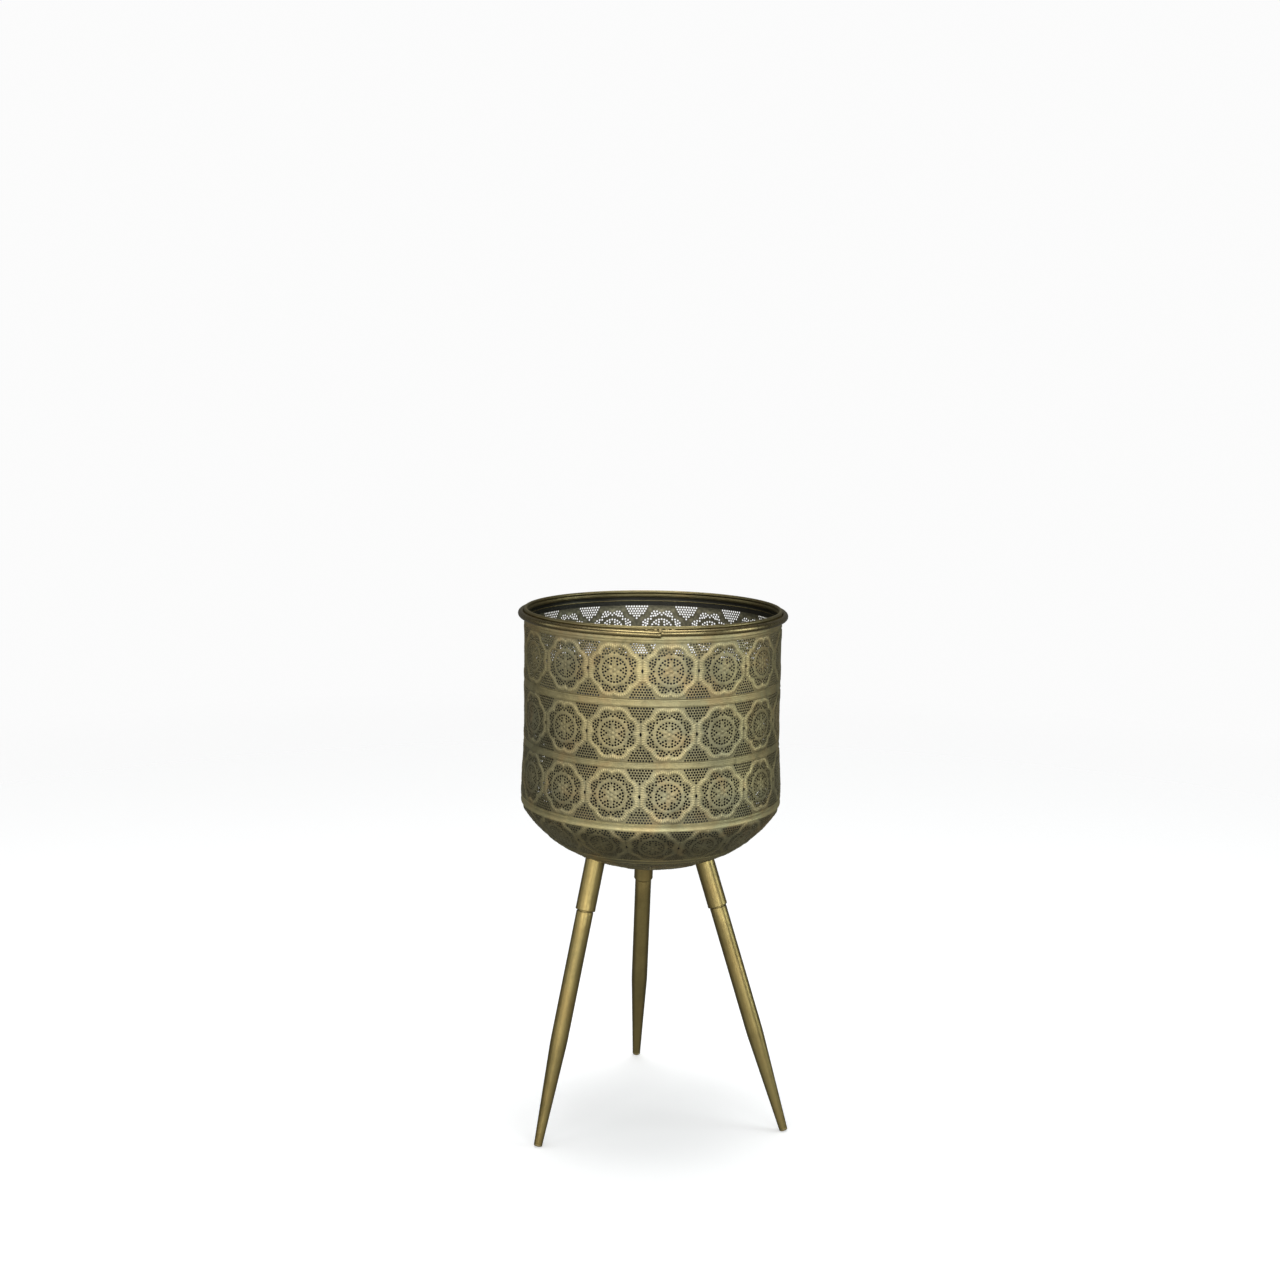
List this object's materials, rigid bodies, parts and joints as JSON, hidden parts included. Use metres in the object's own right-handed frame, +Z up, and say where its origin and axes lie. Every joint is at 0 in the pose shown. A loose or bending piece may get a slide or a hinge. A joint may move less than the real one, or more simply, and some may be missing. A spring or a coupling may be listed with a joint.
{
  "type": "planter pot",
  "caption": "Pierced brass planter pot: straight wall with a heavy rolled rim, dished bottom, lift-out black liner and splayed, tapered legs that screw into sockets.",
  "frame": {"origin": "on the floor, under the axis of the pot", "axes": "+Z up along the pot's axis, -Y to the front, +X to the right"},
  "size_m": [0.3098, 0.3169, 0.589],
  "materials": {
    "brass_sheet": "antique satin",
    "brass_rim": "satin",
    "brass_leg": "satin",
    "steel_hardware": "zinc plated",
    "black_plastic": "matte"
  },
  "bodies": {
    "pot": {"wall_sheet": "brass_sheet", "bottom_dish": "brass_sheet", "rim_ring": "brass_rim", "rim_collar": "brass_rim", "leg_socket_1": "brass_leg", "leg_socket_2": "brass_leg", "leg_socket_3": "brass_leg", "socket_plate_1": "steel_hardware", "socket_plate_2": "steel_hardware", "socket_plate_3": "steel_hardware"},
    "liner": {"inner_liner": "black_plastic"},
    "leg_1": {"leg_tube_1": "brass_leg", "leg_plug_1": "steel_hardware", "leg_stud_1": "steel_hardware", "foot_cap_1": "brass_leg"},
    "leg_2": {"leg_tube_2": "brass_leg", "leg_plug_2": "steel_hardware", "leg_stud_2": "steel_hardware", "foot_cap_2": "brass_leg"},
    "leg_3": {"leg_tube_3": "brass_leg", "leg_plug_3": "steel_hardware", "leg_stud_3": "steel_hardware", "foot_cap_3": "brass_leg"}
  },
  "joints": [
    {"name": "liner_lift", "type": "slide", "parent": "pot", "child": "liner", "axis": [0, 0, 1], "range_m": [0, 0.28]},
    {"name": "leg_1_out", "type": "slide", "parent": "pot", "child": "leg_1", "axis": [-0.1847, -0.1605, -0.9696], "range_m": [0, 0.045]},
    {"name": "leg_2_out", "type": "slide", "parent": "pot", "child": "leg_2", "axis": [0.2937, -0.1069, -0.9499], "range_m": [0, 0.045]},
    {"name": "leg_3_out", "type": "slide", "parent": "pot", "child": "leg_3", "axis": [-0.02, 0.2857, -0.9581], "range_m": [0, 0.045]}
  ]
}
